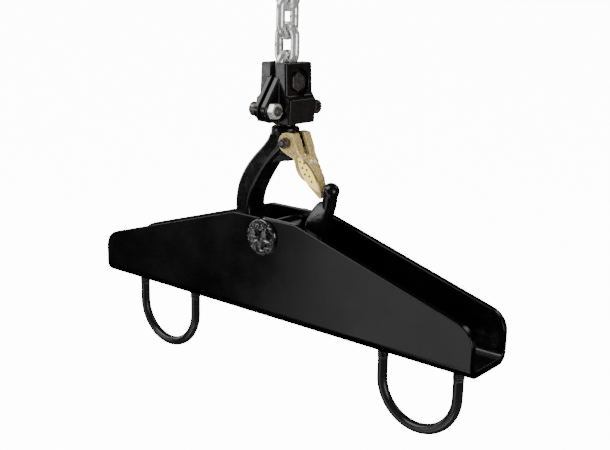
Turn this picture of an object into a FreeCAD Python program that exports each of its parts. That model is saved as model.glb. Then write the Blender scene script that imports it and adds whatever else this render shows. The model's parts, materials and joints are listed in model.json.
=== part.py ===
import FreeCAD, Part
import math
import os
import Sketcher

# Truss lifting bracket hung on a chain hoist hook.
# Frame: +X along the folded channel, +Z up, origin at the middle of the channel's underside,
# which is the face that rests on the two truss chords. Millimetres.

doc = FreeCAD.newDocument("truss_lifting_bracket")
sheet = doc.addObject("Spreadsheet::Sheet", "Dimensions")

CHANNEL = {
    "chord_diameter": 50.0, "chord_half_spacing": 120.0,
    "half_length": 170.0, "half_width": 22.5, "plate": 5.0,
    "end_height": 32.0, "middle_height": 73.5, "half_flat": 29.0,
    "bend_outer_radius": 8.0, "bend_inner_radius": 3.0,
    "end_corner_radius": 15.0, "peak_corner_radius": 10.0,
    "bar_radius": 10.0, "bar_level": 60.2, "bar_stand_out": 2.0,
    "bar_chamfer": 0.6, "weld_radius": 13.5, "weld_height": 2.6, "weld_crown": 1.75, "weld_crown_out": 0.3,
}
U_BOLT = {
    "leg_half_spacing": 29.5, "leg_hole_radius": 4.5, "thread_radius": 4.0, "rod_radius": 3.6,
    "leg_top": 24.0, "thread_length": 44.0,
    "washer_radius": 8.0, "washer_bore": 4.25, "washer_height": 1.6,
    "nut_flats": 13.0, "nut_height": 6.5, "nut_bore": 4.05,
    "thread_chamfer": 0.7, "nut_bore_chamfer": 0.35,
}
HOOK = {
    "bowl_radius": 26.0, "bar_play": 0.2,
    "shoulder_radius": 10.0, "shoulder_low": 130.0, "shoulder_top": 136.3,
    "shank_radius": 7.0, "shank_top": 155.4, "turned_edge": 1.0,
    "thumb_radius": 5.1, "tip_ball_radius": 5.9, "tip_ball_across": 41.9, "tip_ball_level": 96.0,
    "thumb_low_across": 40.4, "thumb_low_level": 84.5,
    "pivot_across": 9.5, "pivot_level": 126.3, "lug_radius": 4.6, "lug_half_width": 6.7,
    "lug_back": -4.0, "eye_room_radius": 7.6, "stop_half_width": 4.5, "pivot_bore": 2.05,
    "spring_groove_half": 3.0,
}
LATCH = {
    "eye_radius": 7.2, "latch_half_width": 9.75, "latch_inner_half": 7.0, "slot_half": 2.75,
    "latch_taper_level": 121.5, "latch_taper_degrees": 8.0, "latch_draft_degrees": 6.0,
    "latch_draft_from": 14.0, "leaf_depth": 0.6, "dot_radius": 0.65, "dot_depth": 0.4,
    "latch_bolt_radius": 2.0, "latch_nut_flats": 7.0, "latch_nut_height": 5.0, "latch_bolt_end": 15.8,
    "latch_bolt_chamfer": 0.4, "latch_bolt_play": 0.1,
    "latch_head_radius": 3.5, "latch_head_height": 2.6, "latch_head_rim": 1.6,
    "latch_socket_flats": 2.5, "latch_socket_depth": 1.5,
    "latch_nut_bore": 2.03, "nylon_ring_height": 1.4, "taper_cut_depth": 8.0,
    "spring_wire_radius": 0.5, "spring_coil_radius": 3.2, "spring_pitch": 1.1, "spring_turns": 4.0,
    "spring_leg": 3.4,
}
BLOCK = {
    "block_low": 139.3, "block_top": 180.6, "block_half_width": 14.1,
    "block_low_depth": 15.0, "ledge_depth": 15.8, "ledge_level": 155.8,
    "waist_depth": 12.3, "waist_level": 158.6, "block_top_depth": 11.3,
    "slot_half_gap": 3.5, "slot_half_width": 12.95, "lip_half_gap": 2.4,
    "slot_floor": 156.2, "floor_top": 143.3,
    "cavity_radius": 10.0, "shank_bore": 7.1,
    "ear_half_gap": 1.3, "ear_outer": 5.8, "ear_radius": 7.0, "ear_across": 21.0, "ear_level": 149.0,
    "ear_root": 13.6, "ear_top": 171.5, "ear_bolt_radius": 3.0, "ear_bolt_bore": 3.2,
    "ear_head_radius": 5.0, "ear_head_height": 6.0, "socket_flats": 5.0, "socket_depth": 3.0,
    "ear_nut_flats": 10.0, "ear_nut_height": 5.0, "ear_nut_bore": 3.05, "ear_bolt_stand_out": 1.8,
    "recess_radius": 9.8, "recess_floor": 8.6, "pin_hex_flats": 12.0, "pin_hex_height": 2.6,
    "pin_radius": 3.8, "pin_bore": 3.85, "pin_level": 167.5,
    "link_room": 0.5, "link_room_half_width": 7.0, "pin_end": 10.3, "pin_hex_chamfer": 0.5,
    "waist_fillet": 1.6, "ledge_fillet": 1.0, "side_fillet": 1.6, "top_fillet": 0.8, "ear_chamfer": 0.9,
    "ear_bolt_chamfer": 0.6,
}
BEARING = {
    "race_radius": 9.8, "race_bore": 7.2, "race_height": 1.5, "ball_radius": 1.2, "ball_play": 0.05,
    "ball_circle": 8.5, "race_chamfer": 0.3,
    "collar_radius": 9.2, "collar_chamfer": 0.5, "collar_drop": 0.2,
    "collar_pin_radius": 1.5, "collar_pin_inset": 0.3, "collar_pin_chamfer": 0.3,
}
CHAIN = {
    "wire_radius": 3.15, "link_inner_length": 19.0, "link_inner_half_width": 4.05, "link_play": 0.06,
}
BALL_COUNT = 20
CHAIN_LINKS = 4
NUT_FACE_SHARE = 0.96
NUT_CORNER_DEGREES = 30.0
EDGE_MARGIN = 0.5

# The forged and cast outlines, as (across, up) points in the hook's plane. A third entry bends the
# edge that leaves its point through that point.
LUG_FOOT = [(7.6, 117.0), (-8.0, 117.0)]
STOP_OUTLINE = [(-8.0, 121.0), (8.2, 121.0), (7.6, 114.0, (7.0, 112.8)), (5.4, 112.4), (-9.0, 109.6)]
SPRING_GROOVE = [(4.6, 119.0), (16.0, 119.0), (16.0, 131.2), (4.6, 131.2)]
LATCH_OUTLINE = [
    ("pivot_across", 133.5), (13.6, 133.2, (14.7, 132.7)), (15.2, 131.6), (20.3, 119.6),
    (23.4, 115.2, (30.3, 106.6)), (35.3, 94.6), (35.3, 91.6, (35.1, 90.3)),
    (34.2, 89.6), (22.6, 101.0, (17.2, 106.6)), (15.8, 112.6, (14.6, 115.4)), (12.3, 116.9), (7.6, 119.4),
]
LATCH_INSIDE = [(-2.0, 134.5), (12.2, 134.5), (12.6, 131.6), (17.9, 119.2), (20.4, 114.6), (19.6, 112.4),
                (10.0, 110.0), (-2.0, 116.0)]
LATCH_SLOT = [(8.0, 135.0), (23.0, 135.0), (23.0, 118.4), (8.0, 118.4)]

# On a latch's flank the second number runs down from where the taper starts.
TAPER_OUTLINE = [(5.0, 0.0), (45.0, 0.0), (45.0, -34.0), (5.0, -34.0)]
LEAF_OUTLINE = [(18.2, -3.2, (28.6, -11.8)), (34.5, -27.9, (21.0, -17.6))]

sizes = {**CHANNEL, **U_BOLT, **HOOK, **LATCH, **BLOCK, **BEARING, **CHAIN}

# Levels and places that follow from the driving sizes.
sizes["bowl_level"] = sizes["bar_level"] - sizes["bar_radius"] - sizes["bar_play"] + sizes["bowl_radius"]
sizes["bend_level"] = sizes["leg_half_spacing"] - sizes["chord_diameter"] - sizes["rod_radius"]
sizes["thread_low"] = sizes["leg_top"] - sizes["thread_length"]
sizes["inner_half_width"] = sizes["half_width"] - sizes["plate"]
sizes["channel_width"] = 2 * sizes["half_width"]
sizes["cut_above"] = sizes["middle_height"] + 10
sizes["cut_over_block"] = sizes["block_top"] + 5
sizes["nut_seat"] = sizes["plate"] + sizes["washer_height"]
sizes["ear_thickness"] = sizes["ear_outer"] - sizes["ear_half_gap"]
sizes["lower_race_level"] = sizes["floor_top"]
sizes["ball_level"] = (sizes["floor_top"] + sizes["race_height"]
                       + sizes["ball_radius"] + sizes["ball_play"])
sizes["upper_race_level"] = sizes["ball_level"] + sizes["ball_radius"] + sizes["ball_play"]
sizes["collar_level"] = sizes["upper_race_level"] + sizes["race_height"]
sizes["link_pitch"] = sizes["link_inner_length"] - sizes["link_play"]
sizes["lowest_link_seat"] = sizes["pin_level"] - sizes["pin_radius"] - sizes["link_play"]
sizes["second_link_level"] = (sizes["lowest_link_seat"] + sizes["link_pitch"]
                              + sizes["link_inner_half_width"])
sizes["link_hollow_radius"] = (sizes["link_inner_half_width"] + 2 * sizes["wire_radius"]
                               + sizes["link_room"])


def fill_sheet():
    """One row per size: its name and its value, with the name as the cell's alias."""
    for row, (alias, value) in enumerate(sizes.items(), start=1):
        sheet.set(f"A{row}", alias)
        sheet.set(f"B{row}", f"{value:.6g}")
        sheet.setAlias(f"B{row}", alias)
    doc.recompute()


def value_of(term):
    """A term is a number or a size's name, with a minus in front where it lies on the other side."""
    if not isinstance(term, str):
        return float(term)
    if term.startswith("-"):
        return -value_of(term[1:])
    return float(sheet.get(term))


def flipped(term):
    """The same term mirrored through zero."""
    if not isinstance(term, str):
        return -term
    return term[1:] if term.startswith("-") else "-" + term


def bind(thing, path, term):
    """Tie a property or constraint to the sheet where the term names a size."""
    if isinstance(term, str):
        sign = "-" if term.startswith("-") else ""
        thing.setExpression(path, f"{sign}Dimensions.{term.lstrip('-')}")


def new_body(label):
    body = doc.addObject("PartDesign::Body", label)
    body.Label = label
    return body


def origin_plane(body, role):
    return next(feature for feature in body.Origin.OriginFeatures if feature.Role == role)


def new_sketch(body, name, role, lift=0.0, at=(0.0, 0.0), turn=None):
    """A sketch on one of the body's own planes, lifted along the plane's normal by a term."""
    sketch = body.newObject("Sketcher::SketchObject", f"{body.Label}_{name}")
    sketch.AttachmentSupport = (origin_plane(body, role), [""])
    sketch.MapMode = "FlatFace"
    base = FreeCAD.Vector(value_of(at[0]), value_of(at[1]), value_of(lift))
    sketch.AttachmentOffset = FreeCAD.Placement(base, turn or FreeCAD.Rotation())
    bind(sketch, "AttachmentOffset.Base.x", at[0])
    bind(sketch, "AttachmentOffset.Base.y", at[1])
    bind(sketch, "AttachmentOffset.Base.z", lift)
    return sketch


def place_point(sketch, geometry, end, across, up):
    """Hold one point of a sketch at two terms measured from the sketch's origin."""
    for kind, term in (("DistanceX", across), ("DistanceY", up)):
        index = sketch.addConstraint(
            Sketcher.Constraint(kind, -1, 1, geometry, end, value_of(term)))
        bind(sketch, f"Constraints[{index}]", term)


def outline(sketch, corners):
    """A closed outline. Each corner is (across, up); a third entry, (across, up), makes the edge
    that leaves the corner an arc through that point."""
    points = [FreeCAD.Vector(value_of(c[0]), value_of(c[1]), 0) for c in corners]
    edges = []
    for number, corner in enumerate(corners):
        start, end = points[number], points[(number + 1) % len(points)]
        if len(corner) == 3:
            middle = FreeCAD.Vector(value_of(corner[2][0]), value_of(corner[2][1]), 0)
            through = Part.Arc(start, middle, end).toShape().Curve
            leftward = (middle - start).cross(end - middle).z > 0
            first, last = (start, end) if leftward else (end, start)
            centre = through.Center
            angles = [math.atan2(p.y - centre.y, p.x - centre.x) for p in (first, last)]
            if angles[1] < angles[0]:
                angles[1] += 2 * math.pi
            ring = Part.Circle(centre, FreeCAD.Vector(0, 0, 1), through.Radius)
            index = sketch.addGeometry(Part.ArcOfCircle(ring, *angles))
            edges.append((index, 1, 2) if leftward else (index, 2, 1))
            sketch.addConstraint(Sketcher.Constraint("Radius", index, through.Radius))
        else:
            index = sketch.addGeometry(Part.LineSegment(start, end))
            edges.append((index, 1, 2))
    for number, (index, first, last) in enumerate(edges):
        following, follow_first, _ = edges[(number + 1) % len(edges)]
        sketch.addConstraint(Sketcher.Constraint("Coincident", index, last, following, follow_first))
        place_point(sketch, index, first, corners[number][0], corners[number][1])
    return sketch


def circle(sketch, across, up, radius):
    index = sketch.addGeometry(
        Part.Circle(FreeCAD.Vector(value_of(across), value_of(up), 0), FreeCAD.Vector(0, 0, 1),
                    value_of(radius)))
    place_point(sketch, index, 3, across, up)
    constraint = sketch.addConstraint(Sketcher.Constraint("Radius", index, value_of(radius)))
    bind(sketch, f"Constraints[{constraint}]", radius)
    return sketch


def hexagon(sketch, across, up, flats, point_up=False):
    """A hexagon drawn about its centre, with its size over the flats held by a helper circle."""
    half = value_of(flats) / 2
    radius = half / math.cos(math.pi / 6)
    centre = FreeCAD.Vector(value_of(across), value_of(up), 0)
    first_angle = math.pi / 2 if point_up else 0.0
    corners = [centre + FreeCAD.Vector(math.cos(first_angle + k * math.pi / 3),
                                       math.sin(first_angle + k * math.pi / 3), 0) * radius
               for k in range(6)]
    sides = [sketch.addGeometry(Part.LineSegment(corners[k], corners[(k + 1) % 6])) for k in range(6)]
    helper = sketch.addGeometry(Part.Circle(centre, FreeCAD.Vector(0, 0, 1), half), True)
    place_point(sketch, helper, 3, across, up)
    diameter = sketch.addConstraint(Sketcher.Constraint("Diameter", helper, 2 * half))
    bind(sketch, f"Constraints[{diameter}]", flats)
    for k in range(6):
        sketch.addConstraint(Sketcher.Constraint("Coincident", sides[k], 2, sides[(k + 1) % 6], 1))
        sketch.addConstraint(Sketcher.Constraint("Tangent", sides[k], helper))
    for k in range(4):
        sketch.addConstraint(Sketcher.Constraint("Equal", sides[k], sides[k + 1]))
    sketch.addConstraint(Sketcher.Constraint("Vertical" if point_up else "Horizontal", sides[1]))
    return sketch


def pad(body, sketch, length, symmetric=False, backwards=False):
    feature = body.newObject("PartDesign::Pad", f"{sketch.Name}_pad")
    feature.Profile = sketch
    feature.Length = value_of(length)
    bind(feature, "Length", length)
    feature.SideType = "Symmetric" if symmetric else "One side"
    feature.Reversed = backwards
    doc.recompute()
    return feature


def pocket(body, sketch, length=None, symmetric=False, backwards=False):
    """A cut of the given depth, or through everything where no depth is given."""
    before = body.Shape.Volume
    feature = body.newObject("PartDesign::Pocket", f"{sketch.Name}_cut")
    feature.Profile = sketch
    feature.Type = "ThroughAll" if length is None else "Length"
    if length is not None:
        feature.Length = value_of(length)
        bind(feature, "Length", length)
    feature.SideType = "Symmetric" if symmetric else "One side"
    feature.Reversed = backwards
    doc.recompute()
    if not body.Shape.Volume < before - 1e-6:
        raise RuntimeError(f"{feature.Name} cuts nothing")
    return feature


def turned(body, sketch, kind="Revolution", axis="V_Axis"):
    """A full turn of a sketch about its own axis: Revolution adds, Groove cuts."""
    before = body.Shape.Volume if kind == "Groove" else 0.0
    feature = body.newObject(f"PartDesign::{kind}", f"{sketch.Name}_{kind.lower()}")
    feature.Profile = sketch
    feature.ReferenceAxis = (sketch, [axis])
    feature.Angle = 360
    doc.recompute()
    if kind == "Groove" and not body.Shape.Volume < before - 1e-6:
        raise RuntimeError(f"{feature.Name} cuts nothing")
    return feature


def edges_where(feature, test):
    return [f"Edge{number}" for number, edge in enumerate(feature.Shape.Edges, start=1) if test(edge)]


def dress(body, kind, feature, test, size):
    """A fillet or chamfer on the edges of the last feature that pass the test."""
    names = edges_where(feature, test)
    if not names:
        raise RuntimeError(f"{feature.Name} has no edge to {kind.lower()}")
    dressed = body.newObject(f"PartDesign::{kind}", f"{feature.Name}_{kind.lower()}")
    dressed.Base = (feature, names)
    field = "Radius" if kind == "Fillet" else "Size"
    setattr(dressed, field, value_of(size))
    bind(dressed, field, size)
    doc.recompute()
    return dressed


def along(edge, axis):
    """True for a straight edge that runs along one of the frame's axes."""
    if not isinstance(edge.Curve, Part.Line):
        return False
    return abs(abs(edge.Curve.Direction.dot(axis)) - 1) < 1e-6


def near(value, *targets):
    return any(abs(value - target) < 1e-3 for target in targets)


X_AXIS, Y_AXIS, Z_AXIS = FreeCAD.Vector(1, 0, 0), FreeCAD.Vector(0, 1, 0), FreeCAD.Vector(0, 0, 1)


def fold_channel():
    """The folded plate: a tapered outline, its two bends, and the open inside."""
    body = new_body("channel")
    side = new_sketch(body, "side", "XZ_Plane")
    right_half = [("half_length", 0.0), ("half_length", "end_height"), ("half_flat", "middle_height")]
    left_half = [(flipped(across), up) for across, up in reversed(right_half)]
    outline(side, right_half + left_half)
    solid = pad(body, side, "channel_width", symmetric=True)
    half_length, half_flat = value_of("half_length"), value_of("half_flat")
    bends = dress(body, "Fillet", solid,
                  lambda e: along(e, X_AXIS) and near(e.CenterOfMass.z, 0.0), "bend_outer_radius")
    ends = dress(body, "Fillet", bends,
                 lambda e: along(e, Y_AXIS) and near(abs(e.CenterOfMass.x), half_length)
                 and near(e.CenterOfMass.z, value_of("end_height")), "end_corner_radius")
    dress(body, "Fillet", ends,
          lambda e: along(e, Y_AXIS) and near(abs(e.CenterOfMass.x), half_flat), "peak_corner_radius")
    inside = new_sketch(body, "inside", "YZ_Plane")
    outline(inside, [("-inner_half_width", "plate"), ("inner_half_width", "plate"),
                     ("inner_half_width", "cut_above"), ("-inner_half_width", "cut_above")])
    hollow = pocket(body, inside, symmetric=True)
    dress(body, "Fillet", hollow,
          lambda e: along(e, X_AXIS) and near(e.CenterOfMass.z, value_of("plate"))
          and near(abs(e.CenterOfMass.y), value_of("inner_half_width")), "bend_inner_radius")
    bar_holes = circle(new_sketch(body, "bar_holes", "XZ_Plane"), 0.0, "bar_level", "bar_radius")
    pocket(body, bar_holes, symmetric=True)
    legs = new_sketch(body, "leg_holes", "XY_Plane")
    for across in leg_places():
        circle(legs, across, 0.0, "leg_hole_radius")
    pocket(body, legs, symmetric=True)
    return body


def leg_places():
    """Where the four U-bolt legs stand along the channel, from left to right."""
    spread, half = value_of("chord_half_spacing"), value_of("leg_half_spacing")
    return [-spread - half, -spread + half, spread - half, spread + half]


def lifting_bar():
    body = new_body("lifting_bar")
    section = circle(new_sketch(body, "section", "XZ_Plane"), 0.0, "bar_level", "bar_radius")
    length = 2 * (value_of("half_width") + value_of("bar_stand_out"))
    bar = pad(body, section, length, symmetric=True)
    dress(body, "Chamfer", bar, lambda e: isinstance(e.Curve, Part.Circle), "bar_chamfer")
    return body


def weld_bead(label, side):
    """The fillet weld that runs round the bar's end on the outer face of one flange."""
    body = new_body(label)
    section = new_sketch(body, "section", "XY_Plane")
    face = value_of("half_width")
    stand = face + value_of("weld_height")
    inner, outer = value_of("bar_radius"), value_of("weld_radius")
    crown = ((inner + outer) / 2 + value_of("weld_crown_out"), face + value_of("weld_crown"))
    outline(section, [(inner, face), (outer, face, crown), (inner, stand)])
    turned(body, section)
    body.Placement.Base = FreeCAD.Vector(0, 0, value_of("bar_level"))
    if side < 0:
        body.Placement.Rotation = FreeCAD.Rotation(Z_AXIS, 180)
    bind(body, "Placement.Base.z", "bar_level")
    return body


def u_bolt(label, centre):
    """A bent rod round one truss chord, with thicker rolled threads on its two legs."""
    body = new_body(label)
    path = new_sketch(body, "path", "XZ_Plane")
    half, bend, top = value_of("leg_half_spacing"), value_of("bend_level"), value_of("leg_top")
    left_leg = path.addGeometry(Part.LineSegment(FreeCAD.Vector(-half, top, 0),
                                                 FreeCAD.Vector(-half, bend, 0)))
    arc = path.addGeometry(Part.ArcOfCircle(
        Part.Circle(FreeCAD.Vector(0, bend, 0), FreeCAD.Vector(0, 0, 1), half), math.pi, 2 * math.pi))
    right_leg = path.addGeometry(Part.LineSegment(FreeCAD.Vector(half, bend, 0),
                                                  FreeCAD.Vector(half, top, 0)))
    path.addConstraint(Sketcher.Constraint("Tangent", left_leg, 2, arc, 1))
    path.addConstraint(Sketcher.Constraint("Tangent", arc, 2, right_leg, 1))
    place_point(path, left_leg, 1, "-leg_half_spacing", "leg_top")
    place_point(path, arc, 3, 0.0, "bend_level")
    path.addConstraint(Sketcher.Constraint("Vertical", left_leg))
    place_point(path, right_leg, 2, "leg_half_spacing", "leg_top")
    section = circle(new_sketch(body, "section", "XY_Plane", lift="leg_top"),
                     "-leg_half_spacing", 0.0, "rod_radius")
    rod = body.newObject("PartDesign::AdditivePipe", f"{label}_rod")
    rod.Profile = section
    rod.Spine = (path, [])
    doc.recompute()
    threads = new_sketch(body, "threads", "XY_Plane", lift="leg_top")
    circle(threads, "-leg_half_spacing", 0.0, "thread_radius")
    circle(threads, "leg_half_spacing", 0.0, "thread_radius")
    threaded = pad(body, threads, "thread_length", backwards=True)
    dress(body, "Chamfer", threaded,
          lambda e: isinstance(e.Curve, Part.Circle) and near(e.CenterOfMass.z, value_of("leg_top")),
          "thread_chamfer")
    body.Placement.Base = FreeCAD.Vector(centre, 0, 0)
    return body


def hex_nut(label, flats, height, bore, nyloc=0.0):
    """A hexagon nut standing on z = 0 with turned corners; nyloc adds a plain collar on top."""
    body = new_body(label)
    profile = new_sketch(body, "profile", "XY_Plane")
    hexagon(profile, 0.0, 0.0, flats, point_up=True)
    full_height = value_of(height)
    hex_height = full_height - nyloc
    pad(body, profile, hex_height)
    face = NUT_FACE_SHARE * value_of(flats) / 2
    beyond = value_of(flats) / math.sqrt(3) + 1.0
    rise = (beyond - face) * math.tan(math.radians(NUT_CORNER_DEGREES))
    for name, level, outwards in (("top_turning", hex_height, 1), ("underside_turning", 0.0, -1)):
        turning = new_sketch(body, name, "XZ_Plane")
        outline(turning, [(face, level), (beyond, level - outwards * rise),
                          (beyond, level + outwards), (face, level + outwards)])
        turned(body, turning, kind="Groove")
    if nyloc:
        collar = circle(new_sketch(body, "collar", "XY_Plane", lift=hex_height), 0.0, 0.0, face)
        collar_pad = pad(body, collar, nyloc)
        dress(body, "Fillet", collar_pad,
              lambda e: isinstance(e.Curve, Part.Circle) and near(e.CenterOfMass.z, full_height),
              nyloc * 0.6)
    hole = circle(new_sketch(body, "hole", "XY_Plane"), 0.0, 0.0, bore)
    bored = pocket(body, hole, symmetric=True)
    dress(body, "Chamfer", bored,
          lambda e: isinstance(e.Curve, Part.Circle) and near(e.Curve.Radius, value_of(bore)),
          "nut_bore_chamfer")
    return body


def u_bolt_nut(label, place):
    body = hex_nut(label, "nut_flats", "nut_height", "nut_bore")
    body.Placement.Base = FreeCAD.Vector(place, 0, value_of("nut_seat"))
    bind(body, "Placement.Base.z", "nut_seat")
    return body


def washers():
    """Four plain washers, one under each U-bolt nut, as one group."""
    rings = []
    for number, place in enumerate(leg_places(), start=1):
        disc = doc.addObject("Part::Cylinder", f"washer_disc_{number}")
        bind(disc, "Radius", "washer_radius")
        bind(disc, "Height", "washer_height")
        hole = doc.addObject("Part::Cylinder", f"washer_hole_{number}")
        bind(hole, "Radius", "washer_bore")
        bind(hole, "Height", "washer_height")
        ring = doc.addObject("Part::Cut", f"washer_{number}")
        ring.Base, ring.Tool = disc, hole
        ring.Placement.Base = FreeCAD.Vector(place, 0, value_of("plate"))
        bind(ring, "Placement.Base.z", "plate")
        rings.append(ring)
    return grouped("u_bolt_washers", rings)


def grouped(label, members):
    """Identical pieces that share one node, each still a solid of its own."""
    group = doc.addObject("Part::Compound", label)
    group.Label = label
    group.Links = members
    return group


def hook_sections():
    """One row per section of the hook from its neck to its tip: its inner and outer points, then its
    straight width on the inside and the outside, then its corner radius on the inside and the outside."""
    bowl, level = value_of("bowl_radius"), value_of("bowl_level")

    def round_bowl(degrees, depth):
        direction = (math.cos(math.radians(degrees)), math.sin(math.radians(degrees)))
        return ((bowl * direction[0], level + bowl * direction[1]),
                ((bowl + depth) * direction[0], level + (bowl + depth) * direction[1]))

    return [
        (((10.0, 131.0), (-10.0, 131.0)), 4.6, 4.6, 6.6, 6.6),
        (((3.5, 120.3), (-15.6, 123.0)), 9.0, 4.6, 4.5, 4.5),
        (((-9.3, 108.8), (-24.2, 114.6)), 13.6, 4.6, 2.2, 4.0),
        (((-18.6, 95.6), (-34.6, 102.4)), 14.2, 4.6, 2.0, 4.0),
        (((-24.2, 84.8), (-41.0, 89.4)), 14.4, 4.6, 2.0, 4.0),
        (round_bowl(180, 17.2), 14.6, 4.8, 2.0, 4.0),
        (round_bowl(225, 18.4), 15.0, 5.6, 2.2, 4.0),
        (round_bowl(270, 19.2), 15.4, 6.0, 2.4, 4.2),
        (round_bowl(315, 17.4), 12.4, 5.2, 2.2, 4.0),
        (round_bowl(360, 15.6), 8.2, 4.4, 2.0, 3.6),
        (((29.4, 83.0), (43.6, 81.6)), 6.0, 3.8, 2.0, 3.4),
        (((33.8, 88.0), (45.0, 86.6)), 3.2, 3.0, 2.6, 3.0),
    ]


def rounded_section(body, name, ends, face_in, face_out, round_in, round_out):
    """One cross-section of the hook: a trapezoid with round corners, wide on the inside of the bend.
    It stands on the line from the inner to the outer point, square to the hook's plane."""
    (inner_x, inner_z), (outer_x, outer_z) = ends
    depth = math.hypot(outer_x - inner_x, outer_z - inner_z)
    heading = math.degrees(math.atan2(outer_z - inner_z, outer_x - inner_x))
    sketch = body.newObject("Sketcher::SketchObject", f"hook_{name}")
    sketch.AttachmentSupport = (origin_plane(body, "XY_Plane"), [""])
    sketch.MapMode = "FlatFace"
    middle = FreeCAD.Vector((inner_x + outer_x) / 2, 0, (inner_z + outer_z) / 2)
    sketch.AttachmentOffset = FreeCAD.Placement(middle, FreeCAD.Rotation(Y_AXIS, -heading))
    inner_centre = FreeCAD.Vector(-depth / 2 + round_in, face_in / 2, 0)
    outer_centre = FreeCAD.Vector(depth / 2 - round_out, face_out / 2, 0)
    run = outer_centre - inner_centre
    slope = math.atan2(run.y, run.x)
    lean = math.asin((round_in - round_out) / run.Length)
    normal_angle = math.pi / 2 + slope - lean
    top = []
    for centre, radius in ((inner_centre, round_in), (outer_centre, round_out)):
        top.append(centre + FreeCAD.Vector(math.cos(normal_angle), math.sin(normal_angle), 0) * radius)

    def corner_arc(centre, radius, from_angle, to_angle):
        ring = Part.Circle(centre, FreeCAD.Vector(0, 0, 1), radius)
        return sketch.addGeometry(Part.ArcOfCircle(ring, from_angle, to_angle))

    def mirrored(point):
        return FreeCAD.Vector(point.x, -point.y, 0)

    outer_line = sketch.addGeometry(Part.LineSegment(FreeCAD.Vector(depth / 2, -face_out / 2, 0),
                                                     FreeCAD.Vector(depth / 2, face_out / 2, 0)))
    outer_up = corner_arc(outer_centre, round_out, 0.0, normal_angle)
    top_line = sketch.addGeometry(Part.LineSegment(top[1], top[0]))
    inner_up = corner_arc(inner_centre, round_in, normal_angle, math.pi)
    inner_line = sketch.addGeometry(Part.LineSegment(FreeCAD.Vector(-depth / 2, face_in / 2, 0),
                                                     FreeCAD.Vector(-depth / 2, -face_in / 2, 0)))
    inner_low = corner_arc(mirrored(inner_centre), round_in, math.pi, 2 * math.pi - normal_angle)
    low_line = sketch.addGeometry(Part.LineSegment(mirrored(top[0]), mirrored(top[1])))
    outer_low = corner_arc(mirrored(outer_centre), round_out, 2 * math.pi - normal_angle, 2 * math.pi)
    ring = [outer_line, outer_up, top_line, inner_up, inner_line, inner_low, low_line, outer_low]
    for first, second in zip(ring, ring[1:] + ring[:1]):
        sketch.addConstraint(Sketcher.Constraint("Tangent", first, 2, second, 1))
    for line in (outer_line, inner_line):
        sketch.addConstraint(Sketcher.Constraint("Symmetric", line, 1, line, 2, -1))
    for arc, radius in ((outer_up, round_out), (inner_up, round_in),
                        (inner_low, round_in), (outer_low, round_out)):
        sketch.addConstraint(Sketcher.Constraint("Radius", arc, radius))
    sketch.addConstraint(Sketcher.Constraint("DistanceX", -1, 1, outer_line, 1, depth / 2))
    sketch.addConstraint(Sketcher.Constraint("DistanceX", -1, 1, inner_line, 1, -depth / 2))
    sketch.addConstraint(Sketcher.Constraint("DistanceY", outer_line, 1, outer_line, 2, face_out))
    sketch.addConstraint(Sketcher.Constraint("DistanceY", inner_line, 2, inner_line, 1, face_in))
    return sketch


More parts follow.
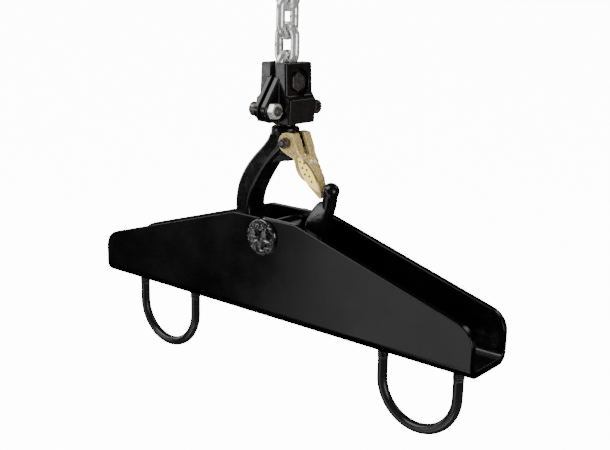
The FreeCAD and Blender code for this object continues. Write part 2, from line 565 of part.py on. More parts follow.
def forged_hook():
    """Shank, shoulder, bent hook and ball tip, with the lug that carries the latch."""
    body = new_body("hook_body")
    sections = [rounded_section(body, f"section_{number:02d}", *row)
                for number, row in enumerate(hook_sections(), start=1)]
    loft = body.newObject("PartDesign::AdditiveLoft", "hook_bend")
    loft.Profile = sections[0]
    loft.Sections = sections[1:]
    doc.recompute()

    neck = new_sketch(body, "neck", "XZ_Plane")
    edge = value_of("turned_edge")
    shoulder, shank = value_of("shoulder_radius"), value_of("shank_radius")
    outline(neck, [(0.0, "shoulder_low"), ("shoulder_radius", "shoulder_low"),
                   ("shoulder_radius", value_of("shoulder_top") - edge), (shoulder - edge, "shoulder_top"),
                   ("shank_radius", "shoulder_top"), ("shank_radius", value_of("shank_top") - edge),
                   (shank - edge, "shank_top"), (0.0, "shank_top")])
    turned(body, neck)

    lug = new_sketch(body, "lug", "XZ_Plane")
    lug_top = value_of("pivot_level") + value_of("lug_radius")
    lug_low = value_of("pivot_level") - value_of("lug_radius")
    outline(lug, [("lug_back", lug_top), ("pivot_across", lug_top), ("pivot_across", lug_low)] + LUG_FOOT)
    pad(body, lug, 2 * value_of("lug_half_width"), symmetric=True)
    nose = circle(new_sketch(body, "lug_nose", "XZ_Plane"), "pivot_across", "pivot_level", "lug_radius")
    pad(body, nose, 2 * value_of("lug_half_width"), symmetric=True)
    stop = new_sketch(body, "stop", "XZ_Plane")
    outline(stop, STOP_OUTLINE)
    pad(body, stop, 2 * value_of("stop_half_width"), symmetric=True)

    rise = value_of("tip_ball_level") - value_of("thumb_low_level")
    lean = value_of("tip_ball_across") - value_of("thumb_low_across")
    thumb = body.newObject("PartDesign::AdditiveCylinder", "hook_thumb")
    thumb.AttachmentSupport = (origin_plane(body, "XY_Plane"), [""])
    thumb.MapMode = "FlatFace"
    thumb.AttachmentOffset = FreeCAD.Placement(
        FreeCAD.Vector(value_of("thumb_low_across"), 0, value_of("thumb_low_level")),
        FreeCAD.Rotation(Y_AXIS, math.degrees(math.atan2(lean, rise))))
    thumb.Height = math.hypot(rise, lean)
    thumb.Radius = value_of("thumb_radius")
    bind(thumb, "Radius", "thumb_radius")
    ball = body.newObject("PartDesign::AdditiveSphere", "hook_tip_ball")
    ball.AttachmentSupport = (origin_plane(body, "XY_Plane"), [""])
    ball.MapMode = "FlatFace"
    ball.AttachmentOffset = FreeCAD.Placement(
        FreeCAD.Vector(value_of("tip_ball_across"), 0, value_of("tip_ball_level")), FreeCAD.Rotation())
    ball.Radius = value_of("tip_ball_radius")
    bind(ball, "Radius", "tip_ball_radius")
    doc.recompute()

    groove = new_sketch(body, "spring_groove", "XZ_Plane")
    outline(groove, SPRING_GROOVE)
    pocket(body, groove, 2 * value_of("spring_groove_half"), symmetric=True)
    for hand, lift in ((-1, "lug_half_width"), (1, "-lug_half_width")):
        eye_room = circle(new_sketch(body, f"eye_room_{'front' if hand < 0 else 'rear'}", "XZ_Plane", lift),
                          "pivot_across", "pivot_level", "eye_room_radius")
        pocket(body, eye_room, backwards=hand < 0)
    bolt_hole = circle(new_sketch(body, "bolt_hole", "XZ_Plane"), "pivot_across", "pivot_level",
                       "pivot_bore")
    pocket(body, bolt_hole, symmetric=True)
    pin_hole = circle(new_sketch(body, "pin_hole", "YZ_Plane"), 0.0, collar_pin_level(),
                      "collar_pin_radius")
    pocket(body, pin_hole, symmetric=True)
    return body


def collar_pin_level():
    return (value_of("collar_level") + value_of("shank_top")) / 2


def shank_collar():
    """The ring on top of the shank that carries the hook's load onto the bearing."""
    body = new_body("shank_collar")
    height = value_of("shank_top") - value_of("collar_level") - value_of("collar_drop")
    ring = new_sketch(body, "ring", "XY_Plane", lift="collar_level")
    circle(ring, 0.0, 0.0, "collar_radius")
    circle(ring, 0.0, 0.0, "shank_radius")
    solid = pad(body, ring, height)
    dress(body, "Chamfer", solid,
          lambda e: isinstance(e.Curve, Part.Circle) and near(e.Curve.Radius, value_of("collar_radius")),
          "collar_chamfer")
    hole = circle(new_sketch(body, "pin_hole", "YZ_Plane"), 0.0, collar_pin_level(), "collar_pin_radius")
    pocket(body, hole, symmetric=True)
    return body


def collar_pin():
    body = new_body("collar_pin")
    section = circle(new_sketch(body, "section", "YZ_Plane"), 0.0, collar_pin_level(),
                     "collar_pin_radius")
    rod = pad(body, section, 2 * (value_of("collar_radius") - value_of("collar_pin_inset")), symmetric=True)
    dress(body, "Chamfer", rod, lambda e: isinstance(e.Curve, Part.Circle), "collar_pin_chamfer")
    return body


def bearing_race(label, level):
    body = new_body(label)
    ring = new_sketch(body, "ring", "XY_Plane", lift=level)
    circle(ring, 0.0, 0.0, "race_radius")
    circle(ring, 0.0, 0.0, "race_bore")
    solid = pad(body, ring, "race_height")
    dress(body, "Chamfer", solid,
          lambda e: isinstance(e.Curve, Part.Circle) and near(e.Curve.Radius, value_of("race_radius")),
          "race_chamfer")
    return body


def bearing_balls():
    """A full ring of balls between the two races."""
    balls = []
    for number in range(BALL_COUNT):
        angle = 2 * math.pi * number / BALL_COUNT
        ball = doc.addObject("Part::Sphere", f"bearing_ball_{number + 1}")
        bind(ball, "Radius", "ball_radius")
        across, back = math.cos(angle), math.sin(angle)
        ball.Placement.Base = FreeCAD.Vector(value_of("ball_circle") * across,
                                             value_of("ball_circle") * back, value_of("ball_level"))
        balls.append(ball)
    return grouped("bearing_balls", balls)


def cast_latch():
    """The hollow cast latch: an eye each side of the lug, a slotted front, and a leaf-shaped hollow
    with seven small pits on each flank."""
    body = new_body("latch")
    side = new_sketch(body, "side", "XZ_Plane")
    outline(side, LATCH_OUTLINE)
    pad(body, side, 2 * value_of("latch_half_width"), symmetric=True)
    eye = circle(new_sketch(body, "eye", "XZ_Plane"), "pivot_across", "pivot_level", "eye_radius")
    pad(body, eye, 2 * value_of("latch_half_width"), symmetric=True)

    draft = value_of("latch_draft_degrees")
    tilt = FreeCAD.Rotation(Y_AXIS, draft) * FreeCAD.Rotation(X_AXIS, value_of("latch_taper_degrees"))
    flank_height = (value_of("latch_half_width")
                    + value_of("latch_draft_from") * math.tan(math.radians(draft)))
    flank_place = FreeCAD.Placement(
        FreeCAD.Vector(0, value_of("latch_taper_level"), flank_height), tilt)

    def flank_sketch(name):
        sketch = new_sketch(body, name, "XZ_Plane")
        sketch.AttachmentOffset = flank_place
        return sketch

    taper = flank_sketch("taper")
    outline(taper, TAPER_OUTLINE)
    taper_cut = pocket(body, taper, "taper_cut_depth", backwards=True)
    leaf = flank_sketch("leaf")
    outline(leaf, LEAF_OUTLINE)
    leaf_cut = pocket(body, leaf, "leaf_depth")
    pits = flank_sketch("pits")
    for across, down in leaf_pits():
        circle(pits, across, down, "dot_radius")
    pit_cut = pocket(body, pits, value_of("leaf_depth") + value_of("dot_depth"))
    mirror = body.newObject("PartDesign::Mirrored", "latch_other_flank")
    mirror.Originals = [taper_cut, leaf_cut, pit_cut]
    mirror.MirrorPlane = (origin_plane(body, "XZ_Plane"), [""])
    body.Tip = mirror
    doc.recompute()

    inside = new_sketch(body, "inside", "XZ_Plane")
    outline(inside, LATCH_INSIDE)
    pocket(body, inside, 2 * value_of("latch_inner_half"), symmetric=True)
    slot = new_sketch(body, "slot", "XZ_Plane")
    outline(slot, LATCH_SLOT)
    pocket(body, slot, 2 * value_of("slot_half"), symmetric=True)
    bore = circle(new_sketch(body, "bore", "XZ_Plane"), "pivot_across", "pivot_level", "pivot_bore")
    pocket(body, bore, symmetric=True)
    return body


def leaf_pits():
    """Two slanting rows of pits that follow the leaf from its broad end to its point."""
    left = [(20.1 + 1.75 * k, -7.3 - 4.3 * k) for k in range(3)]
    right = [(23.4 + 1.85 * k, -8.1 - 4.4 * k) for k in range(3)]
    return left + right + [(28.8, -20.6)]


def latch_bolt():
    """A pan-head bolt through both eyes and the lug, head on the far side."""
    body = new_body("latch_bolt")
    half, end = value_of("latch_half_width"), value_of("latch_bolt_end")
    chamfer, under_head = value_of("latch_bolt_chamfer"), half + value_of("latch_bolt_play")
    radius, head_radius = value_of("latch_bolt_radius"), value_of("latch_head_radius")
    rim, head_top = half + value_of("latch_head_rim"), half + value_of("latch_head_height")
    dome_centre = FreeCAD.Vector(radius, rim, 0)
    dome = dome_centre + FreeCAD.Vector(head_radius - radius, head_top - rim, 0) * math.sqrt(0.5)
    head = new_sketch(body, "turned", "XY_Plane")
    outline(head, [(0.0, -end), (radius - chamfer, -end), (radius, chamfer - end), (radius, under_head),
                   (head_radius, under_head), (head_radius, rim, (dome.x, dome.y)), (radius, head_top),
                   (0.0, head_top)])
    turned(body, head)
    socket = new_sketch(body, "socket", "XZ_Plane", lift=-head_top)
    hexagon(socket, 0.0, 0.0, "latch_socket_flats")
    pocket(body, socket, "latch_socket_depth", backwards=True)
    body.Placement.Base = FreeCAD.Vector(value_of("pivot_across"), 0, value_of("pivot_level"))
    bind(body, "Placement.Base.x", "pivot_across")
    bind(body, "Placement.Base.z", "pivot_level")
    return body


def latch_nut():
    body = hex_nut("latch_nut", "latch_nut_flats", "latch_nut_height", "latch_nut_bore",
                   nyloc=value_of("nylon_ring_height"))
    seat = value_of("latch_half_width") + value_of("latch_bolt_play")
    body.Placement = FreeCAD.Placement(
        FreeCAD.Vector(value_of("pivot_across"), -seat, value_of("pivot_level")),
        FreeCAD.Rotation(X_AXIS, 90))
    return body


def latch_spring():
    """A torsion spring wound round the latch bolt, between the two cheeks of the hook's lug."""
    coil, wire = value_of("spring_coil_radius"), value_of("spring_wire_radius")
    pitch, turns = value_of("spring_pitch"), value_of("spring_turns")
    height = pitch * turns
    helix = Part.makeHelix(pitch, height, coil)
    centre = FreeCAD.Vector(value_of("pivot_across"), height / 2, value_of("pivot_level"))
    helix.Placement = FreeCAD.Placement(centre, FreeCAD.Rotation(X_AXIS, 90))
    start = helix.Vertexes[0].Point
    end = helix.Vertexes[-1].Point
    first_edge = helix.Edges[0]
    last_edge = helix.Edges[-1]
    leg_in = first_edge.tangentAt(first_edge.FirstParameter)
    leg_out = last_edge.tangentAt(last_edge.LastParameter)
    leg = value_of("spring_leg")
    low_leg = Part.makeLine(start - leg_in * leg, start)
    high_leg = Part.makeLine(end, end + leg_out * leg)
    path = Part.Wire([low_leg] + helix.Edges + [high_leg])
    section = Part.Wire([Part.makeCircle(wire, path.Vertexes[0].Point, leg_in)])
    spring = doc.addObject("Part::Feature", "latch_spring")
    spring.Label = "latch_spring"
    spring.Shape = path.makePipeShell([section], True, True)
    return spring


def block_half(label, side):
    """One half of the hook block. side is 1 for the half at +X and -1 for the half at -X."""
    body = new_body(label)

    def out(term):
        return term if side > 0 else flipped(term)

    profile = new_sketch(body, "profile", "XZ_Plane")
    outline(profile, [(0.0, "block_low"), (out("block_low_depth"), "block_low"),
                      (out("ledge_depth"), "ledge_level"), (out("waist_depth"), "waist_level"),
                      (out("block_top_depth"), "block_top"), (out("lip_half_gap"), "block_top"),
                      (out("lip_half_gap"), "slot_floor"), (0.0, "slot_floor")])
    solid = pad(body, profile, 2 * value_of("block_half_width"), symmetric=True)
    waist = dress(body, "Fillet", solid,
                  lambda e: along(e, Y_AXIS) and near(e.CenterOfMass.z, value_of("waist_level")),
                  "waist_fillet")
    ledge = dress(body, "Fillet", waist,
                  lambda e: along(e, Y_AXIS) and near(e.CenterOfMass.z, value_of("ledge_level")),
                  "ledge_fillet")
    half_width = value_of("block_half_width")
    rounded = dress(body, "Fillet", ledge,
                    lambda e: near(abs(e.CenterOfMass.y), half_width)
                    and side * e.CenterOfMass.x > value_of("block_top_depth") - EDGE_MARGIN
                    and e.CenterOfMass.z > value_of("block_low") + EDGE_MARGIN
                    and e.CenterOfMass.z < value_of("block_top") - EDGE_MARGIN, "side_fillet")
    dress(body, "Fillet", rounded,
          lambda e: near(e.CenterOfMass.z, value_of("block_top"))
          and side * e.CenterOfMass.x > value_of("slot_half_gap") + EDGE_MARGIN, "top_fillet")

    ears = new_sketch(body, "ears", "YZ_Plane", lift=out("ear_half_gap"))
    for hand in (-1, 1):
        ear_outline(ears, hand)
    ear_pad = pad(body, ears, "ear_thickness", backwards=side < 0)
    dress(body, "Chamfer", ear_pad,
          lambda e: near(side * e.CenterOfMass.x, value_of("ear_outer"))
          and abs(e.CenterOfMass.y) > half_width + 2 * EDGE_MARGIN, "ear_chamfer")

    slot = new_sketch(body, "link_slot", "XZ_Plane")
    outline(slot, [(0.0, "slot_floor"), (out("slot_half_gap"), "slot_floor"),
                   (out("slot_half_gap"), "cut_over_block"), (0.0, "cut_over_block")])
    pocket(body, slot, 2 * value_of("slot_half_width"), symmetric=True)
    cavity = new_sketch(body, "cavity", "XZ_Plane")
    outline(cavity, [(0.0, "floor_top"), ("cavity_radius", "floor_top"), ("cavity_radius", "slot_floor"),
                     (0.0, "slot_floor")])
    turned(body, cavity, kind="Groove")
    bore = circle(new_sketch(body, "shank_bore", "XY_Plane"), 0.0, 0.0, "shank_bore")
    pocket(body, bore, "slot_floor", backwards=True)
    bolt_holes = new_sketch(body, "bolt_holes", "YZ_Plane")
    for across in ("-ear_across", "ear_across"):
        circle(bolt_holes, across, "ear_level", "ear_bolt_bore")
    pocket(body, bolt_holes, symmetric=True)
    link_hollow = circle(new_sketch(body, "link_hollow", "XZ_Plane"), 0.0, "second_link_level",
                         "link_hollow_radius")
    pocket(body, link_hollow, 2 * value_of("link_room_half_width"), symmetric=True)
    if side > 0:
        recess = circle(new_sketch(body, "recess", "YZ_Plane", lift="recess_floor"), 0.0, "pin_level",
                        "recess_radius")
        pocket(body, recess, backwards=True)
    pin_hole = circle(new_sketch(body, "pin_hole", "YZ_Plane"), 0.0, "pin_level", "pin_bore")
    pocket(body, pin_hole, symmetric=True)
    return body


def ear_outline(sketch, hand):
    """A rounded ear: two straight flanks that leave the block and meet round the bolt."""
    centre = (hand * value_of("ear_across"), value_of("ear_level"))
    radius = value_of("ear_radius")
    root = hand * value_of("ear_root")
    top, low = value_of("ear_top"), value_of("block_low")

    def tangent_point(from_up, above):
        reach = math.hypot(root - centre[0], from_up - centre[1])
        toward = math.atan2(from_up - centre[1], root - centre[0])
        swing = math.acos(radius / reach)
        angle = toward - hand * swing if above else toward + hand * swing
        return (centre[0] + radius * math.cos(angle), centre[1] + radius * math.sin(angle))

    upper, lower = tangent_point(top, True), tangent_point(low, False)
    outline(sketch, [(root, low), (root, top), upper + ((centre[0] + hand * radius, centre[1]),), lower])


def chain_pin():
    """The hexagon-headed pin that holds the chain's last link in the block."""
    body = new_body("chain_pin")
    head = new_sketch(body, "head", "YZ_Plane", lift="recess_floor")
    hexagon(head, 0.0, "pin_level", "pin_hex_flats", point_up=True)
    head_pad = pad(body, head, "pin_hex_height")
    dress(body, "Chamfer", head_pad,
          lambda e: near(e.CenterOfMass.x, value_of("recess_floor") + value_of("pin_hex_height")),
          "pin_hex_chamfer")
    rod = circle(new_sketch(body, "rod", "YZ_Plane", lift="-pin_end"), 0.0, "pin_level", "pin_radius")
    pad(body, rod, value_of("pin_end") + value_of("recess_floor"))
    return body


def ear_bolt(number, hand):
    """A socket-head bolt that clamps one pair of ears; hand -1 is the pair at -Y."""
    body = new_body(f"ear_bolt_{number}")
    ear, head_height = value_of("ear_outer"), value_of("ear_head_height")
    end = ear + value_of("ear_nut_height") + value_of("ear_bolt_stand_out")
    shank, head = value_of("ear_bolt_radius"), value_of("ear_head_radius")
    chamfer = value_of("ear_bolt_chamfer")
    turning = new_sketch(body, "turning", "XY_Plane")
    outline(turning, [(0.0, -end), (shank - chamfer, -end), (shank, chamfer - end), (shank, ear),
                      (head, ear), (head, ear + head_height - chamfer),
                      (head - chamfer, ear + head_height), (0.0, ear + head_height)])
    turned(body, turning)
    socket = new_sketch(body, "socket", "XZ_Plane", lift=-(ear + head_height))
    hexagon(socket, 0.0, 0.0, "socket_flats")
    pocket(body, socket, "socket_depth", backwards=True)
    body.Placement = FreeCAD.Placement(
        FreeCAD.Vector(0, hand * value_of("ear_across"), value_of("ear_level")),
        FreeCAD.Rotation(Z_AXIS, -hand * 90))
    return body


def ear_nut(number, hand):
    body = hex_nut(f"ear_nut_{number}", "ear_nut_flats", "ear_nut_height", "ear_nut_bore")
    body.Placement = FreeCAD.Placement(
        FreeCAD.Vector(-hand * value_of("ear_outer"), hand * value_of("ear_across"),
                       value_of("ear_level")), FreeCAD.Rotation(Y_AXIS, -hand * 90))
    return body


def chain_link(number):
    """One welded link. Link 1 is the top one; odd links lie in the XZ plane, even ones in YZ."""
    body = new_body(f"chain_link_{number}")
    role = "XZ_Plane" if number % 2 else "YZ_Plane"
    seat = value_of("lowest_link_seat") + (CHAIN_LINKS - number) * value_of("link_pitch")
    wire, inner = value_of("wire_radius"), value_of("link_inner_half_width")
    centre = inner + wire
    low = seat + inner
    high = seat + value_of("link_inner_length") - inner
    path = new_sketch(body, "path", role)
    left = path.addGeometry(Part.LineSegment(FreeCAD.Vector(-centre, high, 0),
                                             FreeCAD.Vector(-centre, low, 0)))
    bottom = path.addGeometry(Part.ArcOfCircle(
        Part.Circle(FreeCAD.Vector(0, low, 0), FreeCAD.Vector(0, 0, 1), centre), math.pi, 2 * math.pi))
    right = path.addGeometry(Part.LineSegment(FreeCAD.Vector(centre, low, 0),
                                              FreeCAD.Vector(centre, high, 0)))
    top = path.addGeometry(Part.ArcOfCircle(
        Part.Circle(FreeCAD.Vector(0, high, 0), FreeCAD.Vector(0, 0, 1), centre), 0.0, math.pi))
    for first, last, follower, start in ((left, 2, bottom, 1), (bottom, 2, right, 1),
                                         (right, 2, top, 1), (top, 2, left, 1)):
        path.addConstraint(Sketcher.Constraint("Tangent", first, last, follower, start))
    place_point(path, bottom, 3, 0.0, low)
    place_point(path, top, 3, 0.0, high)
    path.addConstraint(Sketcher.Constraint("Radius", bottom, centre))
    section = circle(new_sketch(body, "section", "XY_Plane", lift=(low + high) / 2),
                     -centre if number % 2 else 0.0, 0.0 if number % 2 else -centre, "wire_radius")
    link = body.newObject("PartDesign::AdditivePipe", f"chain_link_{number}_bend")
    link.Profile = section
    link.Spine = (path, [])
    doc.recompute()
    return body


fill_sheet()

nodes = [
    fold_channel(), lifting_bar(), weld_bead("bar_weld_rear", 1), weld_bead("bar_weld_front", -1),
    u_bolt("u_bolt_left", -value_of("chord_half_spacing")),
    u_bolt("u_bolt_right", value_of("chord_half_spacing")),
    washers(),
]
nut_names = ("nut_left_outer", "nut_left_inner", "nut_right_inner", "nut_right_outer")
nodes += [u_bolt_nut(name, place) for name, place in zip(nut_names, leg_places())]
nodes += [
    forged_hook(), shank_collar(), collar_pin(),
    bearing_race("bearing_race_lower", "lower_race_level"),
    bearing_race("bearing_race_upper", "upper_race_level"), bearing_balls(),
    cast_latch(), latch_bolt(), latch_nut(), latch_spring(),
    block_half("block_front_half", 1), block_half("block_rear_half", -1), chain_pin(),
    grouped("ear_bolts", [ear_bolt(1, -1), ear_bolt(2, 1)]),
    grouped("ear_nuts", [ear_nut(1, -1), ear_nut(2, 1)]),
]
nodes += [chain_link(number) for number in range(1, CHAIN_LINKS + 1)]


def check_document():
    """Stop before anything is written if any object failed or any piece isn't sound."""
    doc.recompute()
    for thing in doc.Objects:
        if "Invalid" in thing.State or "Error" in thing.State:
            raise RuntimeError(f"{thing.Name} failed: {thing.State}")
    for piece in nodes:
        if piece.Shape.isNull() or not piece.Shape.isValid() or not piece.Shape.Solids:
            raise RuntimeError(f"{piece.Label} has no sound shape")


check_document()
os.makedirs("parts", exist_ok=True)
for piece in nodes:
    piece.Shape.exportStep(f"parts/{piece.Label}.step")
    print(piece.Label, len(piece.Shape.Solids), round(piece.Shape.Volume, 1))
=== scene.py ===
"""Looks of a truss lifting bracket hung on a latched hoist hook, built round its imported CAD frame."""
import json
import math

import bmesh
import bpy
from mathutils import Matrix, Vector, noise


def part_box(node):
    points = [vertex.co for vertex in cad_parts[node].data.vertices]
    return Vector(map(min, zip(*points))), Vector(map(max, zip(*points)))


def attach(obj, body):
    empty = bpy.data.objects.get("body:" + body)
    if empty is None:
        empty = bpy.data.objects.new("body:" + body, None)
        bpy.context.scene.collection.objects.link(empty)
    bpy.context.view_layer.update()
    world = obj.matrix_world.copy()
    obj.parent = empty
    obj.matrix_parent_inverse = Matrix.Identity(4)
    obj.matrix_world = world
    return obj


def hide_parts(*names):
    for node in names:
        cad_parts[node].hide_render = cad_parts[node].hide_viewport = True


MM = 0.001

# Interfaces of the CAD part, in mm.
CHORD_OFFSET = 120.0
LATCH_FLANK_LEVEL, LATCH_HALF_WIDTH, LATCH_DRAFT_FROM = 121.5, 9.75, 14.0
CHAIN_WIRE_RADIUS = 3.15

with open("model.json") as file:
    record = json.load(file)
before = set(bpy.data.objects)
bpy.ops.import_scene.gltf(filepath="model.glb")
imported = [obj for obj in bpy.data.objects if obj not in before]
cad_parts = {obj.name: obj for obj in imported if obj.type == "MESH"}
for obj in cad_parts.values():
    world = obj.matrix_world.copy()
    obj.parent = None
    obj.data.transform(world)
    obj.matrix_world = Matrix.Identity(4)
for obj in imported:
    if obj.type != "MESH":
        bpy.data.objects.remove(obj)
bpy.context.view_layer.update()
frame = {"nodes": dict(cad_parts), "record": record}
nodes = frame["nodes"]
body_of = {node: body for body, members in frame["record"]["behaviour"]["bodies"].items()
           for node in members}
slot_of = {part["node"]: part["material_slot"] for part in frame["record"]["subparts"]}


# ---------------------------------------------------------------- materials

def link(tree, output, target):
    tree.links.new(output, target)


def new_material(name, colour, roughness, metallic=0.0, **sockets):
    """A Principled material whose even values sit on the shader's own sockets."""
    material = bpy.data.materials.new(name)
    material.use_nodes = True
    shader = material.node_tree.nodes["Principled BSDF"]
    shader.inputs["Base Color"].default_value = (*colour, 1)
    shader.inputs["Roughness"].default_value = roughness
    shader.inputs["Metallic"].default_value = metallic
    for socket, value in sockets.items():
        shader.inputs[socket.replace("_", " ")].default_value = value
    return material, material.node_tree, shader


def noise_value(tree, per_metre, detail=4.0, rough=0.55, stretch=(1, 1, 1)):
    """Noise fixed to the piece, with a given number of blobs to the metre."""
    coords = tree.nodes.new("ShaderNodeTexCoord")
    mapping = tree.nodes.new("ShaderNodeMapping")
    mapping.inputs["Scale"].default_value = stretch
    texture = tree.nodes.new("ShaderNodeTexNoise")
    texture.inputs["Scale"].default_value = per_metre
    texture.inputs["Detail"].default_value = detail
    texture.inputs["Roughness"].default_value = rough
    link(tree, coords.outputs["Object"], mapping.inputs["Vector"])
    link(tree, mapping.outputs["Vector"], texture.inputs["Vector"])
    return texture.outputs["Fac"]


def spread(tree, value, low, high, to_low, to_high):
    """Stretch part of a value's range over another range, held at its ends."""
    node = tree.nodes.new("ShaderNodeMapRange")
    for socket, number in (("From Min", low), ("From Max", high), ("To Min", to_low), ("To Max", to_high)):
        node.inputs[socket].default_value = number
    link(tree, value, node.inputs["Value"])
    return node.outputs["Result"]


def blend_colour(tree, share, first, second):
    """Mix two colours; either may be a colour or another node's output."""
    node = tree.nodes.new("ShaderNodeMix")
    node.data_type = "RGBA"
    link(tree, share, node.inputs["Factor"])
    for socket, colour in (("A", first), ("B", second)):
        target = next(s for s in node.inputs if s.name == socket and s.type == "RGBA")
        if isinstance(colour, tuple):
            target.default_value = (*colour, 1)
        else:
            link(tree, colour, target)
    return next(s for s in node.outputs if s.type == "RGBA")


def bumps(tree, shader, layers):
    """Stack bump layers: each is (height output, strength, distance in mm)."""
    previous = None
    for height, strength, distance in layers:
        node = tree.nodes.new("ShaderNodeBump")
        node.inputs["Strength"].default_value = strength
        node.inputs["Distance"].default_value = distance * MM
        link(tree, height, node.inputs["Height"])
        if previous:
            link(tree, previous, node.inputs["Normal"])
        previous = node.outputs["Normal"]
    link(tree, previous, shader.inputs["Normal"])


def edge_wear(tree, low, high):
    """1 on sharp outer edges and 0 elsewhere, from the mesh's own pointiness."""
    geometry = tree.nodes.new("ShaderNodeNewGeometry")
    return spread(tree, geometry.outputs["Pointiness"], low, high, 0.0, 1.0)


def product(tree, first, second):
    node = tree.nodes.new("ShaderNodeMath")
    node.operation = "MULTIPLY"
    link(tree, first, node.inputs[0])
    link(tree, second, node.inputs[1])
    return node.outputs[0]


def attribute(tree, name):
    node = tree.nodes.new("ShaderNodeAttribute")
    node.attribute_name = name
    return node.outputs["Fac"]


def powder_coat():
    """Glossy black powder coat: fine orange peel, a slow change of gloss, a little pale dust."""
    black, dust = (0.0002, 0.0002, 0.0002), (0.014, 0.013, 0.012)
    material, tree, shader = new_material("bracket_powder_coat", black, 0.2)
    gloss = noise_value(tree, 22, detail=3)
    link(tree, spread(tree, gloss, 0.35, 0.68, 0.17, 0.27), shader.inputs["Roughness"])
    specks = noise_value(tree, 700, detail=3, rough=0.8)
    link(tree, blend_colour(tree, spread(tree, specks, 0.72, 0.80, 0.0, 0.5), black, dust),
         shader.inputs["Base Color"])
    bumps(tree, shader, [(noise_value(tree, 560, detail=2), 0.07, 0.10),
                         (noise_value(tree, 45, detail=2), 0.12, 0.30)])
    return material


def weld_paint():
    """The same paint pooled over the weld: glossier, thicker, with pin holes."""
    black, worn = (0.003, 0.003, 0.003), (0.016, 0.015, 0.015)
    material, tree, shader = new_material("weld_paint", black, 0.12)
    shader.inputs["Specular IOR Level"].default_value = 0.9
    shader.inputs["Coat Weight"].default_value = 0.8
    shader.inputs["Coat Roughness"].default_value = 0.06
    spots = noise_value(tree, 420, detail=5, rough=0.7)
    link(tree, spread(tree, spots, 0.4, 0.7, 0.06, 0.16), shader.inputs["Roughness"])
    share = spread(tree, noise_value(tree, 180, detail=6, rough=0.7), 0.55, 0.75, 0.0, 0.5)
    link(tree, blend_colour(tree, share, black, worn), shader.inputs["Base Color"])
    bumps(tree, shader, [(noise_value(tree, 700, detail=3, rough=0.6), 0.25, 0.12)])
    return material


def rod_paint():
    """Black zinc on rolled rod, rubbed paler on its thread crests."""
    black, bare = (0.004, 0.004, 0.0042), (0.10, 0.098, 0.095)
    material, tree, shader = new_material("rod_black_zinc", black, 0.24)
    rub = edge_wear(tree, 0.52, 0.60)
    patches = spread(tree, noise_value(tree, 140, detail=5, rough=0.65), 0.42, 0.62, 0.0, 1.0)
    link(tree, blend_colour(tree, product(tree, rub, patches), black, bare), shader.inputs["Base Color"])
    link(tree, spread(tree, noise_value(tree, 90), 0.3, 0.7, 0.18, 0.30), shader.inputs["Roughness"])
    bumps(tree, shader, [(noise_value(tree, 1100, detail=3), 0.12, 0.06)])
    return material


def forged_paint(name, base, rub, gloss, grain, grain_depth, wear):
    """Black paint over a forged skin: scale pits, a soft unevenness and rubbed ridges."""
    material, tree, shader = new_material(name, base, gloss[0])
    worn = edge_wear(tree, *wear)
    patches = spread(tree, noise_value(tree, 160, detail=6, rough=0.7), 0.40, 0.66, 0.0, 1.0)
    rubbed = product(tree, worn, patches)
    soot = spread(tree, noise_value(tree, 70, detail=5, rough=0.6), 0.35, 0.7, 0.0, 1.0)
    skin = blend_colour(tree, soot, base, tuple(2.0 * c for c in base))
    link(tree, blend_colour(tree, rubbed, skin, rub), shader.inputs["Base Color"])
    link(tree, spread(tree, noise_value(tree, 120, detail=4), 0.3, 0.7, *gloss), shader.inputs["Roughness"])
    bumps(tree, shader, [(noise_value(tree, grain, detail=5, rough=0.6), 0.45, grain_depth),
                         (noise_value(tree, grain * 4, detail=3), 0.25, grain_depth / 3)])
    return material


def bright_zinc(name, colour, roughness, mottle, metallic=1.0):
    """Zinc plate: pale grey metal with a faint mottle, dull spots and fine scratches."""
    material, tree, shader = new_material(name, colour, roughness[0], metallic=metallic)
    dull = spread(tree, noise_value(tree, mottle, detail=6, rough=0.68), 0.42, 0.72, 0.0, 1.0)
    darker = tuple(0.6 * c for c in colour)
    link(tree, blend_colour(tree, dull, colour, darker), shader.inputs["Base Color"])
    link(tree, spread(tree, noise_value(tree, mottle * 2.3, detail=5), 0.3, 0.7, *roughness),
         shader.inputs["Roughness"])
    scratches = noise_value(tree, 900, detail=3, rough=0.6, stretch=(1, 1, 0.12))
    bumps(tree, shader, [(noise_value(tree, mottle * 3, detail=4), 0.2, 0.10), (scratches, 0.10, 0.05)])
    return material


def cast_gold():
    """Yellow passivated casting: grainy bronze-gold skin, pale rubbed rims, a bright leaf, brown pits."""
    gold, shade, rim = (0.46, 0.34, 0.115), (0.13, 0.088, 0.03), (1.0, 0.93, 0.70)
    leaf_bright, leaf_deep, pit = (1.0, 0.80, 0.22), (1.0, 0.68, 0.12), (0.10, 0.035, 0.008)
    material, tree, shader = new_material("latch_cast_gold", gold, 0.38, metallic=0.35)
    soot = spread(tree, noise_value(tree, 800, detail=4, rough=0.75), 0.44, 0.58, 0.0, 0.85)
    skin = blend_colour(tree, soot, gold, shade)
    skin = blend_colour(tree, edge_wear(tree, 0.515, 0.56), skin, rim)
    leaf = blend_colour(tree, spread(tree, noise_value(tree, 500, detail=4), 0.35, 0.7, 0.0, 1.0),
                        leaf_bright, leaf_deep)
    skin = blend_colour(tree, attribute(tree, "leaf"), skin, leaf)
    skin = blend_colour(tree, attribute(tree, "rim"), skin, shade)
    skin = blend_colour(tree, attribute(tree, "pit"), skin, pit)
    link(tree, skin, shader.inputs["Base Color"])
    link(tree, spread(tree, noise_value(tree, 420, detail=4), 0.3, 0.7, 0.28, 0.44),
         shader.inputs["Roughness"])
    bumps(tree, shader, [(noise_value(tree, 1100, detail=5, rough=0.65), 0.7, 0.16),
                         (noise_value(tree, 240, detail=3), 0.25, 0.25)])
    return material


